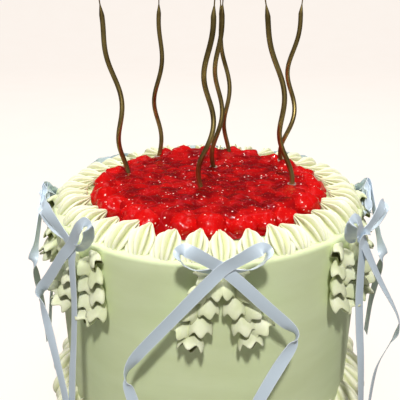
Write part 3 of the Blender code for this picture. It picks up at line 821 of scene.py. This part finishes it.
# %% The candles
CANDLE_RADIUS = 1.6
CANDLE_LENGTH = 110.0
CANDLE_STEPS = 72
WAVE_LENGTH = 68.0
WICK_LENGTH, WICK_SHARE, TAPER_LENGTH = 3.5, 0.24, 5.5
CUP_RIM = BODY_HEIGHT / MM + 9 + 1.5
CANDLES = (
    ("left", (-54.1, 9.9), (-11.9, 2.0), 3.7, 100),
    ("back_left", (-37.2, 53.2), (3.6, 1.0), 3.5, 330),
    ("front", (-4.6, -18.1), (8.2, -2.0), 4.8, 150),
    ("centre", (3.7, 25.7), (5.7, 2.5), 3.9, 165),
    ("back", (15.9, 56.0), (-7.5, 3.0), 3.3, 80),
    ("front_right", (53.7, -10.6), (-21.4, 1.0), 3.9, 30),
    ("back_right", (53.7, 42.8), (9.0, 2.0), 5.0, 175),
)


def candle_line(foot, lean, reach, turn, t):
    """A point in metres on a candle's middle line, t from 0 at the cup's rim to 1 at the tip."""
    swell = math.sin(math.pi * min(1, max(t, 0) / 0.92) ** 0.75)
    angle = math.radians(turn) + 2 * math.pi * t * CANDLE_LENGTH / WAVE_LENGTH
    x = foot[0] + lean[0] * t + reach * swell * math.cos(angle)
    y = foot[1] + lean[1] * t + reach * swell * math.sin(angle)
    return Vector((x, y, CUP_RIM + t * CANDLE_LENGTH)) * MM


def candle(name, foot, lean, reach, turn):
    """A tapering tube along the candle's line, as a mesh."""
    start_clean()
    curve = bpy.data.curves.new(name, "CURVE")
    curve.dimensions = "3D"
    curve.bevel_depth = 1.0 * MM
    curve.bevel_resolution = 4
    curve.use_fill_caps = True
    spline = curve.splines.new("POLY")
    points = [(Vector((foot[0], foot[1], CUP_RIM - 6)) * MM, CANDLE_RADIUS)]
    for i in range(CANDLE_STEPS + 1):
        t = i / CANDLE_STEPS
        grown = ((1 - t) * CANDLE_LENGTH - WICK_LENGTH) / TAPER_LENGTH
        taper = WICK_SHARE + (1 - WICK_SHARE) * min(1, max(0, grown)) ** 0.8
        points.append((candle_line(foot, lean, reach, turn, t), CANDLE_RADIUS * taper))
    spline.points.add(len(points) - 1)
    for point, (spot, radius) in zip(spline.points, points):
        point.co = (*spot, 1)
        point.radius = radius
    obj = bpy.data.objects.new(name, curve)
    bpy.context.collection.objects.link(obj)
    pick(obj)
    bpy.ops.object.convert(target="MESH")
    return outward(bpy.context.object)


for name, foot, lean, reach, turn in CANDLES:
    stick = candle(f"wavy_candle_{name}", foot, lean, reach, turn)
    smooth(stick, 50)
    dress(stick, gold_wax, "gold_candle", f"candle_{name}")

# %% [markdown]
# Each candle stands in a small clear cup pushed into the fruit, and only its rim shows. A tube with a
# rolled rim is enough: a cylinder without ends gets its wall from Solidify, and the bevel rounds the rim.

# %% The candle cups
CUP_RADIUS, CUP_DEPTH, CUP_FLARE = 2.6 * MM, 7.2 * MM, 0.35 * MM
for name, foot, lean, reach, turn in CANDLES:
    start_clean()
    middle = Vector((foot[0] * MM, foot[1] * MM, CUP_RIM * MM - CUP_DEPTH / 2))
    bpy.ops.mesh.primitive_cylinder_add(vertices=24, radius=CUP_RADIUS, depth=CUP_DEPTH,
                                        end_fill_type="NOTHING", location=middle)
    cup = place_in_mesh(bpy.context.object)
    cup.name = f"candle_cup_{name}"
    for vert in cup.data.vertices:
        if vert.co.z > (CUP_RIM - 1) * MM:
            vert.co += Vector((vert.co.x - middle.x, vert.co.y - middle.y, 0)).normalized() * CUP_FLARE
    add_modifier(cup, "SOLIDIFY", thickness=0.7 * MM, offset=-1.0)
    add_modifier(cup, "BEVEL", width=0.2 * MM, segments=2, limit_method="ANGLE",
                 angle_limit=math.radians(50))
    smooth(cup, 50)
    dress(cup, clear_plastic, "clear_cup", f"holder_{name}")

# %% [markdown]
# A ribbon bow is flat satin, so its form is all in the route it takes: out, round the loop, back across the
# middle and down as a tail. A strip is made from a grid that is laid along that route. Each station of the
# route gives a place and the way the ribbon's width points there, and a smooth curve through them gives all
# the points between. Two strips cross in the middle, as in the real bow, each one loop and one tail.


# %% Lay a ribbon along a route
def smooth_between(values, t):
    """A Catmull-Rom curve through values, t from 0 to 1."""
    spans = len(values) - 1
    place = min(t, 0.99999) * spans
    i = int(place)
    f = place - i
    p0, p1, p2, p3 = (values[min(max(k, 0), spans)] for k in (i - 1, i, i + 1, i + 2))
    return 0.5 * (2 * p1 + (p2 - p0) * f + (2 * p0 - 5 * p1 + 4 * p2 - p3) * f ** 2
                  + (3 * p1 - p0 - 3 * p2 + p3) * f ** 3)


RIBBON_WIDTH = 6.3 * MM
RIBBON_THICKNESS = 0.35 * MM
RIBBON_STEPS = 190


def lay_ribbon(stations):
    """A satin strip: a grid laid along stations of (place, direction of its width)."""
    start_clean()
    bpy.ops.mesh.primitive_grid_add(x_subdivisions=RIBBON_STEPS, y_subdivisions=6, size=1)
    strip = bpy.context.object
    strip.name = "ribbon"
    places = [place for place, across in stations]
    widths = [across for place, across in stations]
    for vert in strip.data.vertices:
        t, side = vert.co.x + 0.5, vert.co.y
        middle = smooth_between(places, t)
        ahead = smooth_between(places, min(1, t + 0.004)) - smooth_between(places, max(0, t - 0.004))
        across = smooth_between(widths, t)
        across = (across - ahead * across.dot(ahead) / ahead.length_squared).normalized()
        normal = ahead.normalized().cross(across)
        crown = 0.03 * (1 - (2 * side) ** 2)
        vert.co = middle + across * side * RIBBON_WIDTH + normal * crown * RIBBON_WIDTH
    add_modifier(strip, "SOLIDIFY", thickness=RIBBON_THICKNESS, offset=0.0)
    return strip


# %% [markdown]
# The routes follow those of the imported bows, in millimetres from the knot, with more stations in the loops.
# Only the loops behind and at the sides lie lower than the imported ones, and hardly show from the front.

# %% The bows
KNOT_OUT = 10.5
KNOT_RISE = 3.0
BACK_KNOT_RISE = -1.0
BACK_BOWS = (4, 5, 6)
LOOP = (
    ((0.2, -0.6, -1.6), (0, 1, 0.1)),
    ((5.5, -1.6, -0.4), (0, 0.75, 0.65)),
    ((12, -0.3, 1.2), (0.05, 0.5, 0.86)),
    ((16, 3, 2.8), (0.05, 0.58, 0.8)),
    ((17.6, 7.2, 4), (0, 0.75, 0.6)),
    ((17.2, 10.4, 4.7), (-0.15, 0.85, 0)),
    ((15.2, 11.6, 4.8), (-0.35, 0.75, -0.5)),
    ((11.6, 9.8, 4.4), (-0.52, 0.76, -0.3)),
    ((6.5, 5.5, 2.6), (-0.62, 0.78, 0)),
)
SWEEP = (
    ((0, 0, 1), (0.66, 0.75, 0)),
    ((8, -7.8, 1.4), (0.68, 0.72, 0)),
    ((20, -21.5, 2.5), (0.65, 0.7, 0.15)),
    ((28.5, -31, 4), (0.6, 0.72, 0.3)),
    ((32.8, -36, 5.3), (0.25, 0.65, 0.7)),
    ((34.2, -40, 6.4), (-0.4, 0.45, 0.8)),
    ((32, -45, 6.8), (-0.85, 0.5, 0)),
    ((25.5, -56, 7), (-0.8, 0.45, -0.4)),
    ((16, -74.5, 8.2), (-0.88, 0.42, -0.25)),
    ((9, -92, 9.5), (-0.93, 0.35, -0.1)),
    ((3, -122, 11.5), (-1, 0, 0)),
)
SLANT = (
    ((0, 0, 1), (0.68, 0.73, 0)),
    ((8.5, -10, 1.4), (0.72, 0.69, 0)),
    ((20, -25, 2.2), (0.75, 0.66, 0.15)),
    ((30, -38.6, 3.4), (0.75, 0.64, 0.2)),
    ((37.5, -49.5, 4.8), (0.7, 0.62, 0.35)),
    ((41.3, -57, 5.9), (0.25, 0.55, 0.8)),
    ((42.6, -63.5, 6.8), (-0.4, 0.35, 0.85)),
    ((41, -71, 7.6), (-0.9, 0.25, -0.1)),
    ((33, -96, 10), (-0.92, 0.25, -0.25)),
    ((25, -122, 11.5), (-1, 0.2, 0)),
)
DROP = (
    ((-0.5, -0.5, 1), (0.9, 0.5, 0)),
    ((-0.8, -10, 1.4), (1, 0.1, 0.1)),
    ((-1, -35, 2.5), (1, 0, 0.2)),
    ((-1.5, -58, 5), (1, 0, 0.2)),
    ((-2, -80, 8), (1, 0, 0.1)),
    ((-4, -122, 11.5), (1, 0, 0)),
)
STAND_OFF = (
    ((0, 0, 1), (0.9, 0.4, 0.1)),
    ((3.5, -10, 4), (0.9, 0.4, -0.1)),
    ((8, -27, 11), (0.9, 0.4, -0.3)),
    ((13.5, -46, 19.5), (0.8, 0.5, -0.5)),
    ((16, -58, 22), (0.6, 0.75, -0.2)),
    ((16.8, -70, 18.5), (0.7, 0.7, 0.2)),
    ((17, -92, 12.5), (1, 0.2, 0.1)),
    ((16, -118, 11.5), (1, 0, 0)),
)
DRAPES = (
    ((-1, SLANT, 1.0), (1, SWEEP, 0.96)),
    ((1, DROP, -1.0), (1, STAND_OFF, 1.0)),
    ((-1, SWEEP, 0.8), (1, SWEEP, 0.9)),
    ((-1, SWEEP, 0.95), (1, SWEEP, 0.75)),
    ((-1, SWEEP, 0.85), (1, SWEEP, 1.0)),
    ((-1, DROP, 1.0), (1, SWEEP, 0.85)),
    ((-1, SWEEP, 0.9), (1, SWEEP, 0.8)),
    ((-1, SWEEP, 0.85), (1, DROP, 1.0)),
)


# How much a bow's loops rise on their way out, and how open, how long and how far off the side they are:
# the two bows beside the front one stand up, the next two hang, and the three behind lie level.
STANDING, HANGING, LYING = (0.25, 1.0, 0.8, 1.0), (-1.0, 0.3, 0.9, 0.3), (-0.35, 0.5, 0.95, 0.8)
LOOP_HABITS = {2: STANDING, 3: HANGING, 4: LYING, 5: LYING, 6: LYING, 7: HANGING, 8: (0.42, 1.0, 0.9, 1.0)}


def with_habit(place, habit):
    """A place of a loop, moved as its bow's habit asks."""
    rise, openness, length, stand = habit
    u, v, w = place
    return u * length, v * openness + rise * u, w * stand - 0.35 * (1 - stand) * u


def bow_station(azimuth, place, across, side, spread, sink, rise):
    """A station in metres from one in millimetres, on either side of the knot."""
    u, v, w = place
    right, out = side_ways(azimuth, side * u * spread)
    spot = side_point(azimuth, side * u * spread, v + rise, w + KNOT_OUT - sink)
    return spot, right * across[0] * side + Vector((0, 0, across[1])) + out * across[2]


for bow, azimuth in enumerate(BOW_AZIMUTHS):
    habit = LOOP_HABITS.get(bow + 1)
    rise = BACK_KNOT_RISE if bow + 1 in BACK_BOWS else KNOT_RISE
    loop = [(with_habit(place, habit) if habit else place, across) for place, across in LOOP]
    strips = []
    for order, (side, route, spread) in enumerate(DRAPES[bow]):
        loop_side = 1 if order == 0 else -1
        sink = 0.0 if order == 0 else 0.8
        stations = [bow_station(azimuth, p, a, loop_side, 1.0, sink, rise) for p, a in loop]
        stations += [bow_station(azimuth, p, a, side, spread, sink, rise) for p, a in route]
        strips.append(lay_ribbon(stations))
    tied = join_as(f"satin_bow_{bow + 1}", strips)
    smooth(tied, 45)
    dress(tied, satin, "satin_ribbon", f"bow_{bow + 1}")

# %% [markdown]
# The set is a plain pale sweep: a floor that turns up into a wall with one soft bend, so no line shows
# behind the cake. It is made from a plane whose far edge is extruded upwards, and the bend is rounded with
# a bevel.

# %% The floor and backdrop
FAR_EDGE, WALL_HEIGHT = 3, 3
start_clean()
bpy.ops.mesh.primitive_plane_add(size=2 * FAR_EDGE)
sweep = bpy.context.object
sweep.name = "pale_sweep"
select_edges(sweep, lambda spot: spot.y > FAR_EDGE - 0.1)
bpy.ops.mesh.extrude_region_move(TRANSFORM_OT_translate={"value": (0, 0, WALL_HEIGHT)})
select_edges(sweep, lambda spot: spot.y > FAR_EDGE - 0.1 and spot.z < 0.1)
bpy.ops.mesh.bevel(offset=1.2, segments=12, affect="EDGES")
bpy.ops.object.mode_set(mode="OBJECT")
smooth(sweep, 60)
paper, tree, shader, coordinates = new_material("Pale studio paper")
fibres = placed(tree, "ShaderNodeTexNoise", coordinates.outputs["Object"], {"Scale": 12.0, "Detail": 3.0})
paper_tones = mix_tones(tree, fibres.outputs["Fac"], linear(250, 241, 233), linear(252, 244, 237))
wire(tree, paper_tones, shader.inputs["Emission Color"])
seen = add_node(tree, "ShaderNodeLightPath").outputs["Is Camera Ray"]
wire(tree, mix_tones(tree, seen, linear(140, 138, 134), linear(112, 108, 104)), shader.inputs["Base Color"])
wire(tree, ranged(tree, seen, 0.0, 1.0, 0.0, 0.96), shader.inputs["Emission Strength"])
set_inputs(shader, {"Roughness": 0.9, "Specular IOR Level": 0.1})
sweep.data.materials.append(paper)

# %% [markdown]
# The key is one small lamp above the front. It lays the crisp shadows of ribbons and braids straight below
# them. A large soft lamp above lights all that faces up, so the border is brighter than the side, a small
# weak one gives the glaze its sparks, and a dim pale world fills the shadows.


# %% The lights
def area_light(name, spot, aim, size, power, colour):
    """A square soft lamp that looks at a point."""
    start_clean()
    bpy.ops.object.light_add(type="AREA", location=spot)
    lamp = bpy.context.object
    lamp.name = name
    lamp.data.size = size
    lamp.data.energy = power
    lamp.data.color = colour
    lamp.rotation_euler = (Vector(aim) - Vector(spot)).to_track_quat("-Z", "Y").to_euler()
    return lamp


area_light("key", (0.03, -1.1, 1.5), (0, 0, 0.12), 0.13, 24.5, (1.0, 0.99, 0.97))
overhead = area_light("overhead", (-0.1, 0.35, 1.5), (0, 0, 0.1), 0.9, 17.0, (1.0, 0.98, 0.95))
overhead.visible_glossy = False
sparkle = area_light("sparkle", (0.1, 0.45, 1.6), (0, 0, 0.14), 0.05, 3.0, (1.0, 0.99, 0.97))
sparkle.visible_diffuse = False

world = bpy.data.worlds.new("Pale room")
bpy.context.scene.world = world
world.use_nodes = True
tree = world.node_tree
background = tree.nodes["Background"]
background.inputs["Color"].default_value = linear(246, 242, 238)
met = add_node(tree, "ShaderNodeLightPath")
strength = ranged(tree, met.outputs["Is Camera Ray"], 0.0, 1.0, 0.15, 0.96)
wire(tree, strength, background.inputs["Strength"])
bpy.context.scene.view_settings.view_transform = "Standard"

# %% [markdown]
# The camera stands where the photographer stood: a good three radii from the cake's middle, looking down on
# it. These numbers come from fitting the rim's ellipse, the sides and the foot border.

# %% The camera
CAMERA_DISTANCE = 3.239 * BODY_RADIUS
CAMERA_RISE = 1.201 * BODY_RADIUS
CAMERA_PITCH = math.radians(21.13)
LENS_LENGTH, SIDE_SHIFT = 46.6, -0.0205
start_clean()
bpy.ops.object.camera_add(location=(0, -CAMERA_DISTANCE, BODY_HEIGHT + CAMERA_RISE),
                          rotation=(math.radians(90) - CAMERA_PITCH, 0, 0))
camera = bpy.context.object
camera.data.lens = LENS_LENGTH
camera.data.shift_x = SIDE_SHIFT
camera.data.clip_start = 0.01
bpy.context.scene.camera = camera
